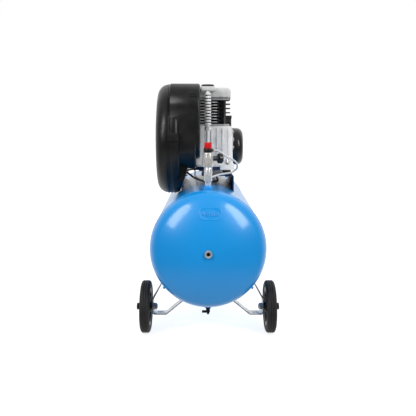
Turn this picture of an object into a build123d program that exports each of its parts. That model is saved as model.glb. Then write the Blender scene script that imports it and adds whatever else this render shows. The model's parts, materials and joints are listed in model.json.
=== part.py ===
from build123d import *
import os
from math import cos, sin, pi, radians, sqrt

# Belt-driven two-stage air compressor on a horizontal receiver.
# X runs across the receiver, Y along it from the wheeled end to the handle end, Z up.
# The origin is on the floor, under the middle of the whole machine. All lengths in mm.

# ---- receiver ----
TANK_R = 225.0            # outside radius of the barrel
TANK_WALL = 3.5
BARREL_LENGTH = 1150.0
CROWN_R = 400.0           # torispherical ends: crown and knuckle radii
KNUCKLE_R = 60.0
TANK_Z = 355.0            # height of the barrel's axis
DISH_DEPTH = CROWN_R - sqrt((CROWN_R - KNUCKLE_R) ** 2 - (TANK_R - KNUCKLE_R) ** 2)
PLUG_PROUD = 10.0         # hexagon-socket plug in the middle of each end
HANDLE_REACH = 190.0      # from the rear rim to the back of the push handle

# The front rim is placed so that plug and handle are equally far from the origin.
RIM_Y = (DISH_DEPTH + PLUG_PROUD - BARREL_LENGTH - HANDLE_REACH) / 2

# ---- stations along the receiver, measured from the front rim ----
COLUMN_Y = RIM_Y + 45     # riser with the non-return and safety valves
DRAIN_Y = RIM_Y + 50
WHEEL_Y = RIM_Y + 100
PIPE_Y = RIM_Y + 190      # finned delivery pipe
PUMP_Y = RIM_Y + 330      # crankshaft axis
MOTOR_Y = RIM_Y + 690     # motor axis
SWITCH_Y = RIM_Y + 985    # pressure switch and outlet
FOOT_Y = RIM_Y + 1050

# ---- running gear ----
WHEEL_R = 102.0
WHEEL_WIDTH = 46.0
WHEEL_X = 249.5
AXLE_R = 8.0
RUNNING_FIT = 0.05        # radial clearance of a shaft in its bearing
BRACKET_X = 221.0         # upright part of the bent strip
BRACKET_LOW_Z = 76.0
BRACKET_WIDTH = 48.0
BRACKET_THICK = 4.0
SLOT_X = 191.0
SLOT_LENGTH = 22.0
SLOT_WIDTH = 11.0

# ---- deck ----
DECK_HALF_X = 112.0
DECK_TOP_Z = 622.0
DECK_THICK = 4.0
DECK_Y0 = RIM_Y + 240
DECK_Y1 = RIM_Y + 880
RAIL_TOP_Z = 643.0

# ---- pump ----
CRANK_Z = 772.0
THROW = 18.0              # half the stroke
ROD_LENGTH = 95.0
LOW_X, LOW_BORE = -32.0, 38.0
HIGH_X, HIGH_BORE = 43.0, 26.5
CASE_BASE_Z = 644.0
LEFT_FOOT_Z = 658.0       # underside of the thin feet beside the guard
FOOT_TOP_Z = 667.0
CASE_TOP_Z = 832.0
BLOCK_TOP_Z = 952.0
HEAD_TOP_Z = 999.0
JOURNAL_R = 15.0
PIN_R = 14.0
COVER_BOLT_R = 39.0

# ---- drive ----
BELT_X = -150.0
FLYWHEEL_R = 178.0
PULLEY_R = 45.0
BELT_DEPTH = 9.0
BELT_WIDTH = 14.0
MOTOR_Z = 733.0
SHAFT_R = 12.0

# ---- guard ----
GUARD_X0, GUARD_X1 = -215.0, -116.0
GUARD_SEAM_X = -155.0
GUARD_HOOD_X = -32.0
GUARD_Z = 778.0
GUARD_R = 238.0
GUARD_TAIL_R = 110.0
GUARD_WALL = 3.0
HOOD_ROUND = 110.0

os.makedirs("parts", exist_ok=True)


# ---------------------------------------------------------------- helpers
def rod(start, direction, radius, length):
    """A solid cylinder from a start point along a direction."""
    plane = Plane(origin=start, z_dir=direction)
    return plane * Cylinder(radius, length, align=(Align.CENTER, Align.CENTER, Align.MIN))


def pipe(start, direction, outer, inner, length):
    """A straight tube with open ends."""
    return rod(start, direction, outer, length) - rod(start, direction, inner, length)


def hexagon(start, direction, across_flats, length):
    """A hexagonal prism, such as a nut or a bolt's head."""
    face = Plane(origin=start, z_dir=direction) * RegularPolygon(across_flats / 2, 6, False)
    return extrude(face, length, dir=Vector(*direction).normalized())


def block(x0, x1, y0, y1, z0, z1):
    """A box between two opposite corners."""
    centre = Pos((x0 + x1) / 2, (y0 + y1) / 2, (z0 + z1) / 2)
    return centre * Box(x1 - x0, y1 - y0, z1 - z0)


def rounded_block(x0, x1, y0, y1, z0, z1, radius):
    """A box whose four upright edges are rounded."""
    solid = block(x0, x1, y0, y1, z0, z1)
    return fillet(solid.edges().filter_by(Axis.Z), radius)


def bolt(start, direction, radius, length, across_flats, head):
    """A hexagon bolt: the head stands back from the start point, the shank goes forward."""
    axis = Vector(*direction).normalized()
    seat = Vector(*start) - axis * head
    return hexagon(tuple(seat), direction, across_flats, head) + rod(start, direction, radius, length)


def spun(points, origin, direction):
    """A solid of revolution from (radius, height) points about an axis."""
    plane = Plane(origin=origin, z_dir=direction)
    profile = Plane.XZ * make_face(Polyline(*points, close=True))
    return plane * revolve(profile, Axis.Z)


def tube_on_route(points, radii, outer, inner=0.0):
    """A tube of straight runs and tangent arcs."""
    path = FilletPolyline(*points, radius=radii)
    section = Plane(origin=path @ 0, z_dir=path % 0) * Circle(outer)
    if inner:
        section -= Plane(origin=path @ 0, z_dir=path % 0) * Circle(inner)
    return sweep(section, path)


def save(name, *shapes):
    """Write one node: every solid of the given shapes."""
    solids = []
    for shape in shapes:
        solids.extend(shape.solids())
    export_step(Compound(children=solids), f"parts/{name}.step")


def both_sides(shape):
    """A shape and its mirror image across the middle plane."""
    return [shape, mirror(shape, Plane.YZ)]


# ---------------------------------------------------------------- receiver
def tank_fitting_places():
    """Where a boss stands on the barrel: x, y and the direction, up or down."""
    return [(COLUMN_Y, 1), (SWITCH_Y, 1), (DRAIN_Y, -1)]


def tank_boss(y, way):
    """A round welded boss with a threaded hole, through the barrel's wall."""
    start = (0, y, TANK_Z + way * (TANK_R - 10))
    return pipe(start, (0, 0, way), 16, 10, 26)


def tank_barrel():
    start = (0, RIM_Y, TANK_Z)
    barrel = pipe(start, (0, 1, 0), TANK_R, TANK_R - TANK_WALL, BARREL_LENGTH)
    for y, way in tank_fitting_places():
        barrel -= rod((0, y, TANK_Z + way * (TANK_R - 10)), (0, 0, way), 16, 26)
    save("tank_barrel", barrel)


def dish_solid(inset):
    """A filled torispherical end, from the rim plane outwards, made smaller by an inset."""
    crown = CROWN_R - inset
    knuckle = KNUCKLE_R - inset
    apex = DISH_DEPTH - inset
    centre_x = TANK_R - KNUCKLE_R
    slope = Vector(centre_x, CROWN_R - DISH_DEPTH).normalized()
    meet = Vector(0, DISH_DEPTH - CROWN_R) + slope * crown
    middle = Vector(cos(0.45), sin(0.45)) * knuckle + Vector(centre_x, 0)
    rise = slope.Y
    half = sqrt((1 + rise) / 2)
    top = Vector(sqrt(1 - half ** 2), half) * crown + Vector(0, DISH_DEPTH - CROWN_R)
    outline = Polyline((0, apex), (0, 0), (centre_x + knuckle, 0))
    outline += ThreePointArc((centre_x + knuckle, 0), (middle.X, middle.Y), (meet.X, meet.Y))
    outline += ThreePointArc((meet.X, meet.Y), (top.X, top.Y), (0, apex))
    return revolve(Plane.XZ * make_face(outline), Axis.Z)


def tank_ends():
    """Both dished ends; the front one carries a raised blank badge."""
    shell = dish_solid(0) - dish_solid(TANK_WALL)
    boss_hole = rod((0, 0, 0), (0, 0, 1), 16, DISH_DEPTH + 20)
    boss = pipe((0, 0, DISH_DEPTH - 12), (0, 0, 1), 16, 9, 14)
    badge = Pos(8, 145, 0) * extrude(RectangleRounded(89, 49, 14), DISH_DEPTH)
    raised = (dish_solid(-1.5) - dish_solid(0)) & badge
    front = Plane(origin=(0, RIM_Y, TANK_Z), x_dir=(1, 0, 0), z_dir=(0, -1, 0))
    rear = Plane(origin=(0, RIM_Y + BARREL_LENGTH, TANK_Z), x_dir=(-1, 0, 0), z_dir=(0, 1, 0))
    plain = (shell - boss_hole) + boss
    save("tank_ends", front * (plain + raised), rear * plain)


def tank_plugs():
    """Hexagon-socket plugs screwed into the bosses of the ends."""
    plugs = []
    ends = [(RIM_Y - DISH_DEPTH, -1), (RIM_Y + BARREL_LENGTH + DISH_DEPTH, 1)]
    for y, way in ends:
        head = rod((0, y + way * 2, TANK_Z), (0, way, 0), 14, PLUG_PROUD - 2)
        head = head + rod((0, y - way * 12, TANK_Z), (0, way, 0), 8.9, 14)
        head -= hexagon((0, y + way * 1, TANK_Z), (0, way, 0), 14, PLUG_PROUD)
        plugs.append(head)
    save("tank_plugs", *plugs)


def tank_bosses():
    """Welded bosses and the two small studs on the lower flanks."""
    bosses = [tank_boss(y, way) for y, way in tank_fitting_places()]
    tank = rod((0, RIM_Y - 50, TANK_Z), (0, 1, 0), TANK_R, 400)
    slope = radians(48)
    direction = (sin(slope), 0, -cos(slope))
    start = Vector(0, RIM_Y + 12, TANK_Z) + Vector(*direction) * (TANK_R - 6)
    stud = rod(tuple(start), direction, 5, 16) - tank
    save("tank_bosses", *bosses, *both_sides(stud))


# ---------------------------------------------------------------- running gear
def bent_strip(y):
    """One bracket: a flat strip bent under the tank's flank, with a slotted hole."""
    tank = rod((0, y - 200, TANK_Z), (0, 1, 0), TANK_R, 400)
    points = [(172, y, 226), (BRACKET_X, y, 135), (BRACKET_X, y, BRACKET_LOW_Z)]
    points += [(168, y, BRACKET_LOW_Z), (78, y, 149)]
    path = FilletPolyline(*points, radius=[10, 8, 10])
    section = Plane(origin=path @ 0, z_dir=path % 0, x_dir=(0, 1, 0))
    strip = sweep(section * Rectangle(BRACKET_WIDTH, BRACKET_THICK), path) - tank
    slot = Pos(SLOT_X, y, BRACKET_LOW_Z) * extrude(SlotOverall(SLOT_LENGTH, SLOT_WIDTH), 10, both=True)
    return strip - slot


def support_brackets():
    """Four identical strips; the front pair is drilled for the axle bolts."""
    front = bent_strip(WHEEL_Y) - rod((180, WHEEL_Y, WHEEL_R), (1, 0, 0), AXLE_R, 60)
    rear = bent_strip(FOOT_Y)
    save("support_brackets", *both_sides(front), *both_sides(rear))


def axle_bolts():
    """Each wheel's bolt with its two washers and its nut."""
    outer = WHEEL_X + WHEEL_WIDTH / 2 + 0.5
    face = BRACKET_X + BRACKET_THICK / 2
    pin = bolt((outer + 3, WHEEL_Y, WHEEL_R), (-1, 0, 0), AXLE_R, 73, 24, 11)
    inner_washer = pipe((face, WHEEL_Y, WHEEL_R), (1, 0, 0), 15, AXLE_R, 3)
    outer_washer = pipe((outer, WHEEL_Y, WHEEL_R), (1, 0, 0), 15, AXLE_R, 3)
    nut_start = (face - BRACKET_THICK, WHEEL_Y, WHEEL_R)
    nut = hexagon(nut_start, (-1, 0, 0), 24, 13) - rod(nut_start, (-1, 0, 0), AXLE_R, 13)
    for piece in (pin, inner_washer, outer_washer, nut):
        yield from both_sides(piece)


def wheel_rim():
    """A moulded rim: hub, web with ribs and a channel for the tyre, on the X axis."""
    half = WHEEL_WIDTH / 2
    profile = [(AXLE_R + RUNNING_FIT, -half), (20, -half), (20, -6), (62, -6), (62, -17)]
    profile += [(76, -17), (76, 17), (62, 17), (62, 6), (20, 6), (20, half)]
    profile += [(AXLE_R + RUNNING_FIT, half)]
    rim = spun(profile, (0, 0, 0), (1, 0, 0))
    for index in range(6):
        rib = block(-15, 15, -2, 2, 18, 64)
        rim += Rot(index * 60, 0, 0) * rib
    return rim


def wheel_tyre():
    """A solid rubber tyre with rounded shoulders."""
    half = WHEEL_WIDTH / 2
    face = Plane.XZ * Pos((WHEEL_R + 76) / 2, 0) * RectangleRounded(WHEEL_R - 76, 2 * half, 11)
    ring = revolve(face, Axis.Z) - Cylinder(76, 60)
    return Rot(0, 90, 0) * ring


def wheels():
    for side, way in (("left", -1), ("right", 1)):
        place = Pos(way * WHEEL_X, WHEEL_Y, WHEEL_R)
        save(f"wheel_rim_{side}", place * wheel_rim())
        save(f"tyre_{side}", place * wheel_tyre())


def rubber_feet():
    """Round rubber feet under the rear brackets, hollow above for the bolt's head."""
    top = BRACKET_LOW_Z - BRACKET_THICK / 2
    profile = [(0, 14), (0, top), (24, top), (30, 4), (28, 0), (14, 0), (14, 14)]
    foot = spun(profile, (SLOT_X, FOOT_Y, 0), (0, 0, 1))
    foot -= rod((SLOT_X, FOOT_Y, 0), (0, 0, 1), 5, 100)
    save("rubber_feet", *both_sides(foot))


def push_handle():
    """A bent tube welded to the rear end through two round pads."""
    tank_back = RIM_Y + BARREL_LENGTH
    back = tank_back + HANDLE_REACH - 13
    half, z = 130, 440
    points = [(-half, tank_back + 80, z), (-half, back, z), (half, back, z), (half, tank_back + 80, z)]
    handle = tube_on_route(points, [45, 45], 13, 11)
    pad = rod((half, tank_back + 60, z), (0, 1, 0), 22, 24)
    for solid in both_sides(pad):
        handle += solid
    rear = Plane(origin=(0, tank_back, TANK_Z), x_dir=(-1, 0, 0), z_dir=(0, 1, 0))
    handle -= rear * dish_solid(0)
    save("push_handle", handle)


# ---------------------------------------------------------------- deck
def deck_plate():
    """A bent sheet saddle on the barrel, open beside the belt, with two rails for the motor."""
    tank = rod((0, RIM_Y, TANK_Z), (0, 1, 0), TANK_R, BARREL_LENGTH)
    x = DECK_HALF_X
    outer = block(-x, x, DECK_Y0, DECK_Y1, 500, DECK_TOP_Z)
    inner_x = x - DECK_THICK
    inner = block(-inner_x, inner_x, DECK_Y0 - 1, DECK_Y1 + 1, 499, DECK_TOP_Z - DECK_THICK)
    ridge = outer.edges().filter_by(Axis.Y).group_by(Axis.Z)[-1]
    under = inner.edges().filter_by(Axis.Y).group_by(Axis.Z)[-1]
    deck = fillet(ridge, 7) - fillet(under, 3) - tank
    for y in (MOTOR_Y - 55, MOTOR_Y + 55):
        deck += block(-55, 95, y - 18, y + 18, DECK_TOP_Z, RAIL_TOP_Z)
    for x, y in pump_bolt_places() + motor_bolt_places():
        deck -= rod((x, y, DECK_TOP_Z - 10), (0, 0, 1), 5.2, 40)
    opening = block(-88, -26, DECK_Y0 - 1, MOTOR_Y - 80, 600, RAIL_TOP_Z)
    deck -= opening
    save("deck_plate", deck)


def pump_bolt_places():
    return [(x, PUMP_Y + y) for x in (-4, 85) for y in (-84, 84)]


def motor_bolt_places():
    return [(x, MOTOR_Y + y) for x in (-30, 70) for y in (-55, 55)]


def rubber_mounts():
    """Rubber blocks between the pump's feet and the deck."""
    mounts = []
    for x, y in pump_bolt_places():
        height = (LEFT_FOOT_Z if x < 0 else CASE_BASE_Z) - DECK_TOP_Z
        mounts.append(pipe((x, y, DECK_TOP_Z), (0, 0, 1), 15, 5.2, height))
    save("rubber_mounts", *mounts)


def frame_bolts():
    """The M10 bolts of the pump, the motor and the rubber feet, with their nuts."""
    solids = []
    for x, y in pump_bolt_places():
        solids += stud_and_nut(x, y, DECK_TOP_Z - DECK_THICK, FOOT_TOP_Z, 690)
    for x, y in motor_bolt_places():
        solids += stud_and_nut(x, y, DECK_TOP_Z - DECK_THICK, 655, 670)
    for x in (-SLOT_X, SLOT_X):
        solids += stud_and_nut(x, FOOT_Y, 14, BRACKET_LOW_Z + BRACKET_THICK / 2, 92)
    save("frame_bolts", *solids)


def stud_and_nut(x, y, low, seat, top):
    """A bolt from a head below to a nut on its seat."""
    shank = bolt((x, y, low), (0, 0, 1), 5, top - low, 17, 6)
    nut = hexagon((x, y, seat), (0, 0, 1), 17, 8) - rod((x, y, seat), (0, 0, 1), 5, 9)
    return [shank, nut]


# ---------------------------------------------------------------- valve column
GAUGE_TURN = 20.0         # how far the dial is turned towards the handle
GAUGE_WAY = (cos(radians(GAUGE_TURN)), sin(radians(GAUGE_TURN)), 0)
GAUGE_Z = 702.0
GAUGE_BACK = 44.0         # from the column's axis to the back of the case
GAUGE_DEPTH = 15.0
COLUMN_BODY_R = 21.8
PORT_Z = 702.0
BLEED_WAY = (0.8, 0.6, 0)
BLEED_Z = 734.0
BLEED_REACH = 24.0


def riser_pipe():
    """The pipe from the tank's boss to the non-return valve."""
    riser = rod((0, COLUMN_Y, 585), (0, 0, 1), 9.9, 12)
    riser += rod((0, COLUMN_Y, 596), (0, 0, 1), 12, 17)
    riser += rod((0, COLUMN_Y, 613), (0, 0, 1), 16.8, 56)
    riser -= rod((0, COLUMN_Y, 580), (0, 0, 1), 7.5, 100)
    save("riser_pipe", riser)


def check_valve_body():
    """The valve's body, with ports for the delivery pipe, the gauge and the bleed tube."""
    body = rod((0, COLUMN_Y, 669), (0, 0, 1), COLUMN_BODY_R, 57)
    body = chamfer(body.edges().filter_by(GeomType.CIRCLE), 1.5)
    body += rod((0, COLUMN_Y, PORT_Z), (0, 1, 0), 14, 30)
    body -= rod((0, COLUMN_Y, 660), (0, 0, 1), 12, 58)
    body -= rod((0, COLUMN_Y, 716), (0, 0, 1), 7, 20)
    body -= rod((0, COLUMN_Y, PORT_Z), (0, 1, 0), 7.5, 40)
    body -= rod((0, COLUMN_Y, GAUGE_Z), GAUGE_WAY, 5, 40)
    save("check_valve_body", body)


def safety_valve():
    """The relief valve's black body with its stem, and the red cap that lifts on it."""
    base = rod((0, COLUMN_Y, 716), (0, 0, 1), 6.9, 10)
    base += chamfer(rod((0, COLUMN_Y, 726), (0, 0, 1), 17.5, 16).edges(), 1.2)
    base += rod((0, COLUMN_Y, 741), (0, 0, 1), 8, 14)
    base += rod((0, COLUMN_Y, BLEED_Z), BLEED_WAY, 5.5, BLEED_REACH)
    base -= rod((0, COLUMN_Y, 715), (0, 0, 1), 3, 45)
    save("safety_valve_body", base)
    cap = rod((0, COLUMN_Y, 742.3), (0, 0, 1), 15, 23.7)
    cap = fillet(cap.edges().group_by(Axis.Z)[-1], 3)
    cap -= rod((0, COLUMN_Y, 742), (0, 0, 1), 8.3, 19)
    save("safety_cap", cap)


def along(point, direction, distance):
    """A point moved along a direction."""
    moved = Vector(*point) + Vector(*direction) * distance
    return tuple(moved)


def tank_gauge():
    """A back-entry pressure gauge on the side of the valve body, open at its face."""
    centre = (0, COLUMN_Y, GAUGE_Z)
    floor = GAUGE_BACK + 3
    stem = rod(along(centre, GAUGE_WAY, 8), GAUGE_WAY, 4.9, GAUGE_BACK - 6)
    nut = hexagon(along(centre, GAUGE_WAY, 24), GAUGE_WAY, 19, GAUGE_BACK - 28)
    nut += rod(along(centre, GAUGE_WAY, GAUGE_BACK - 5), GAUGE_WAY, 8, 6)
    case = rod(along(centre, GAUGE_WAY, GAUGE_BACK), GAUGE_WAY, 20.5, GAUGE_DEPTH)
    case = fillet(case.edges().filter_by(GeomType.CIRCLE), 1.5)
    case -= rod(along(centre, GAUGE_WAY, floor), GAUGE_WAY, 18, GAUGE_DEPTH)
    case += rod(along(centre, GAUGE_WAY, floor - 1), GAUGE_WAY, 1.2, 8)
    save("gauge_case", stem + nut + case)
    hub = pipe(along(centre, GAUGE_WAY, floor + 4), GAUGE_WAY, 3, 1.26, 2)
    hand = block(-0.8, 0.8, -5, 14, floor + 4, floor + 5.2) - Cylinder(2, 200)
    plane = Plane(origin=centre, x_dir=(-GAUGE_WAY[1], GAUGE_WAY[0], 0), z_dir=GAUGE_WAY)
    save("gauge_needle", hub + plane * (Rot(0, 0, 135) * hand))


def drain_valve():
    """A small cock under the tank, with a lever that turns on its side."""
    top = TANK_Z - TANK_R - 16
    body = hexagon((0, DRAIN_Y, top), (0, 0, -1), 17, 7)
    body += rod((0, DRAIN_Y, top + 12), (0, 0, -1), 9.8, 12)
    body += rod((0, DRAIN_Y, top - 7), (0, 0, -1), 8, 12)
    body += rod((0, DRAIN_Y, top - 19), (0, 0, -1), 5, 9)
    body -= rod((0, DRAIN_Y, top + 20), (0, 0, -1), 3, 60)
    body += rod((0, DRAIN_Y, top - 13), (0, -1, 0), 5, 14) - rod((0, DRAIN_Y, top), (0, 0, -1), 7, 40)
    save("drain_valve", body)
    lever = rod((0, DRAIN_Y - 14.4, top - 13), (0, -1, 0), 6.5, 6)
    lever += block(-24, 0, DRAIN_Y - 19.4, DRAIN_Y - 14.4, top - 17.5, top - 8.5)
    save("drain_lever", lever)


# ---------------------------------------------------------------- pump
def crankcase():
    """The cast case: ribbed front, foot rail, open top and right, housing for a bearing."""
    y = PUMP_Y
    outline = Polyline((-78, 660), (110, 660), (103, CASE_TOP_Z), (-78, CASE_TOP_Z), close=True)
    case = extrude(Plane.XZ.offset(-(y - 72)) * make_face(outline), -144)
    case += block(-46, 115, y - 92, y + 92, LEFT_FOOT_Z, FOOT_TOP_Z)
    case += block(54, 115, y - 94, y + 94, CASE_BASE_Z, FOOT_TOP_Z)
    for x in (-8, 16, 40, 64, 88):
        case += block(x - 2, x + 2, y - 76, y + 76, 680, CASE_TOP_Z - 8)
    case += rod((-84, y, CRANK_Z), (1, 0, 0), 42, 20)
    case -= block(-66, 92, y - 60, y + 60, 679, CASE_TOP_Z + 1)
    case -= rod((-90, y, CRANK_Z), (1, 0, 0), 32, 40)
    case -= rod((90, y, CRANK_Z), (1, 0, 0), 43.6, 40)
    case -= block(104, 130, y - 48, y + 48, CRANK_Z - 48, CRANK_Z + 48)
    for x, yy in pump_bolt_places():
        case -= rod((x, yy, 640), (0, 0, 1), 5.2, 30)
    case -= rod((60, y + 60, 800), (0, 1, 0), 10.5, 30)
    save("crankcase", case)


def crankcase_cover():
    """The round end cover that carries the right-hand bearing."""
    y = PUMP_Y
    cover = rod((104, y, CRANK_Z), (1, 0, 0), 47.5, 7)
    cover += rod((84, y, CRANK_Z), (1, 0, 0), 43.5, 21)
    cover -= rod((80, y, CRANK_Z), (1, 0, 0), 32, 22)
    for y, z in cover_bolt_places():
        cover -= rod((80, y, z), (1, 0, 0), 3, 40)
    save("crankcase_cover", cover)


def cover_bolt_places():
    """Six places on a circle around the crankshaft's axis: y and z."""
    angles = [radians(60 * index) for index in range(6)]
    return [(PUMP_Y + COVER_BOLT_R * cos(a), CRANK_Z + COVER_BOLT_R * sin(a)) for a in angles]


def pump_bolts():
    """Cover bolts and head screws."""
    solids = []
    for y, z in cover_bolt_places():
        solids.append(bolt((111, y, z), (-1, 0, 0), 3, 20, 10, 5.5))
    for x, y in head_bolt_places():
        solids.append(rod((x, y, HEAD_TOP_Z - 9), (0, 0, 1), 6.5, 8))
        solids[-1] += rod((x, y, BLOCK_TOP_Z - 20), (0, 0, 1), 4, 60)
        solids[-1] -= hexagon((x, y, HEAD_TOP_Z - 5), (0, 0, 1), 6, 6)
    save("pump_bolts", *solids)


def head_bolt_places():
    return [(x, PUMP_Y + y) for x in (-76, 8, 72) for y in (-44, 44)]


def bearings():
    """Two bearings of the crankshaft and two of the motor."""
    rings = [pipe((-82, PUMP_Y, CRANK_Z), (1, 0, 0), 32, JOURNAL_R + RUNNING_FIT, 16)]
    rings.append(pipe((86, PUMP_Y, CRANK_Z), (1, 0, 0), 32, JOURNAL_R + RUNNING_FIT, 16))
    for x in (-63, 86):
        rings.append(pipe((x, MOTOR_Y, MOTOR_Z), (1, 0, 0), 26, SHAFT_R + RUNNING_FIT, 14))
    save("bearings", *rings)


def fin(x0, x1, half_y, z, thick, radius):
    return rounded_block(x0, x1, PUMP_Y - half_y, PUMP_Y + half_y, z, z + thick, radius)


def cylinder_block():
    """Low- and high-pressure cylinders in one casting, with cooling fins."""
    y = PUMP_Y
    casting = rod((LOW_X, y, CASE_TOP_Z), (0, 0, 1), 45, BLOCK_TOP_Z - CASE_TOP_Z)
    casting += rod((HIGH_X, y, CASE_TOP_Z), (0, 0, 1), 31, BLOCK_TOP_Z - CASE_TOP_Z)
    casting += fin(-80, 98, 58, CASE_TOP_Z, 9, 12)
    casting += fin(-86, 98, 58, BLOCK_TOP_Z - 7, 7, 12)
    for index in range(8):
        casting += fin(-86, 48, 64, 848 + 12.2 * index, 4, 26)
    for index in range(5):
        casting += fin(30, 100, 46, 852 + 18.8 * index, 3.5, 20)
    for x, yy in head_bolt_places():
        casting += rod((x, yy, CASE_TOP_Z), (0, 0, 1), 8, BLOCK_TOP_Z - CASE_TOP_Z)
        casting -= rod((x, yy, BLOCK_TOP_Z - 20), (0, 0, 1), 4, 30)
    casting -= rod((LOW_X, y, 820), (0, 0, 1), LOW_BORE, 200)
    casting -= rod((HIGH_X, y, 820), (0, 0, 1), HIGH_BORE, 200)
    save("cylinder_block", casting)


def head_casting():
    """The head's outer shape: a block with one large round towards the motor's fan."""
    low, high = BLOCK_TOP_Z + 6, HEAD_TOP_Z
    outline = make_face(Polyline((-86, low), (100, low), (100, high), (-86, high), close=True))
    corner = outline.vertices().group_by(Axis.Y)[-1].sort_by(Axis.X)[-1]
    outline = fillet(corner, 18)
    head = extrude(Plane.XZ.offset(-(PUMP_Y + 62)) * outline, 124)
    rims = head.edges().filter_by(lambda edge: edge.center().Z > low + 1)
    rims = rims.filter_by(lambda edge: abs(abs(edge.center().Y - PUMP_Y) - 62) < 0.1)
    return fillet(rims, 7)


def cylinder_head():
    """The valve plate with its ports, and the cast head with two chambers."""
    y = PUMP_Y
    plate = fin(-86, 100, 60, BLOCK_TOP_Z, 6, 12)
    for x in (LOW_X - 14, LOW_X + 14, HIGH_X - 9, HIGH_X + 9):
        plate -= rod((x, y, BLOCK_TOP_Z - 1), (0, 0, 1), 6, 10)
    head = head_casting()
    for x0, x1 in ((-66, -4), (20, 76)):
        head -= block(x0, x1, y - 34, y + 34, BLOCK_TOP_Z, HEAD_TOP_Z - 10)
    head -= rod((0, y - 20, 989), (0, -1, 0), 7, 60)
    for x, yy in head_bolt_places():
        plate -= rod((x, yy, BLOCK_TOP_Z - 1), (0, 0, 1), 4, 10)
        head -= rod((x, yy, BLOCK_TOP_Z), (0, 0, 1), 4, 60)
        head -= rod((x, yy, HEAD_TOP_Z - 9), (0, 0, 1), 8, 20)
    save("valve_plate", plate)
    save("cylinder_head", head)


def air_filter():
    """A low round filter cap on the head."""
    profile = [(0, HEAD_TOP_Z), (30, HEAD_TOP_Z), (31, HEAD_TOP_Z + 5), (27, HEAD_TOP_Z + 17)]
    profile += [(0, HEAD_TOP_Z + 17)]
    save("air_filter", spun(profile, (1, PUMP_Y, 0), (0, 0, 1)))


def oil_filler_cap():
    """The filler cap and dipstick in the back of the crankcase."""
    cap = rod((60, PUMP_Y + 76.4, 800), (0, 1, 0), 14, 12)
    cap += rod((60, PUMP_Y + 66, 800), (0, 1, 0), 10, 12)
    for index in range(8):
        notch = Rot(0, index * 45, 0) * Pos(15.5, 85, 0) * Rot(90, 0, 0) * Cylinder(3, 30)
        cap -= Pos(60, PUMP_Y, 800) * notch
    save("oil_filler_cap", cap)


def crankshaft():
    """Main journals, discs and two crankpins half a turn apart."""
    y = PUMP_Y
    shaft = rod((-172, y, CRANK_Z), (1, 0, 0), JOURNAL_R, 118)
    shaft += rod((-56, y, CRANK_Z), (1, 0, 0), 35, 10)
    shaft += rod((-46, y - THROW, CRANK_Z), (1, 0, 0), PIN_R, 30)
    shaft += rod((-18, y, CRANK_Z), (1, 0, 0), 35, 46)
    shaft += rod((28, y + THROW, CRANK_Z), (1, 0, 0), PIN_R, 30)
    shaft += rod((58, y, CRANK_Z), (1, 0, 0), 35, 10)
    shaft += rod((66, y, CRANK_Z), (1, 0, 0), JOURNAL_R, 34)
    shaft += hexagon((-180, y, CRANK_Z), (1, 0, 0), 24, 8)
    save("crankshaft", shaft)


def con_rod(name, x, y, width, small_r):
    """A connecting rod that stands upright on its crankpin, one end free of the piston."""
    x0 = x - width / 2
    top = CRANK_Z + ROD_LENGTH
    body = rod((x0, y, CRANK_Z), (1, 0, 0), 22, width)
    body += block(x - 4, x + 4, y - 6, y + 6, CRANK_Z + 16, top)
    small = small_r * 2 - 4
    body += rod((x - small / 2, y, top), (1, 0, 0), small_r, small)
    body -= rod((x0 - 1, y, CRANK_Z), (1, 0, 0), PIN_R + RUNNING_FIT, width + 2)
    body -= rod((x0, y, top), (1, 0, 0), small_r / 2, width)
    save(name, body)


def pistons():
    """The low-pressure piston is a cup over the rod's end; the high-pressure one is a disc."""
    low = rod((LOW_X, PUMP_Y, 853), (0, 0, 1), LOW_BORE - 0.3, 80)
    low -= rod((LOW_X, PUMP_Y, 852), (0, 0, 1), 33, 63)
    high = rod((HIGH_X, PUMP_Y, 915), (0, 0, 1), HIGH_BORE - 0.3, 18)
    for z in (920, 927):
        low -= ring_groove(LOW_X, z, LOW_BORE)
        high -= ring_groove(HIGH_X, z, HIGH_BORE)
    save("piston_low", low)
    save("piston_high", high)


def ring_groove(x, z, bore):
    return pipe((x, PUMP_Y, z), (0, 0, 1), bore + 5, bore - 2.5, 2.5)


def delivery_line():
    """Elbow on the head, finned pipe, nuts and the smooth pipe to the valve column."""
    head_front = PUMP_Y - 62
    elbow = rounded_block(-30, 30, PIPE_Y - 14, head_front, 980, 998, 8)
    elbow = fillet(elbow.edges().group_by(Axis.Z)[-1], 4)
    elbow -= rod((0, head_front + 1, 989), (0, -1, 0), 7, head_front - PIPE_Y + 1)
    elbow -= rod((0, PIPE_Y, 970), (0, 0, 1), 7, 19)
    save("delivery_elbow", elbow)
    start, corner = (0, PIPE_Y, 980), (0, PIPE_Y, PORT_Z)
    tube = tube_on_route([start, corner, (0, COLUMN_Y + 30, PORT_Z)], [60], 7.5, 6)
    fins = pipe((0, PIPE_Y, 829), (0, 0, 1), 8.6, 7, 151)
    for index in range(11):
        fins += pipe((0, PIPE_Y, 836 + 12.6 * index), (0, 0, 1), 13.8, 7, 8.2)
    save("delivery_pipe", tube + fins)
    upper = hexagon((0, PIPE_Y, 815), (0, 0, 1), 24, 14) - rod((0, PIPE_Y, 815), (0, 0, 1), 7.5, 14)
    nut_y = COLUMN_Y + 30
    lower = hexagon((0, nut_y, PORT_Z), (0, 1, 0), 24, 13) - rod((0, nut_y, PORT_Z), (0, 1, 0), 7.5, 13)
    save("pipe_nuts", upper, lower)


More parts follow.
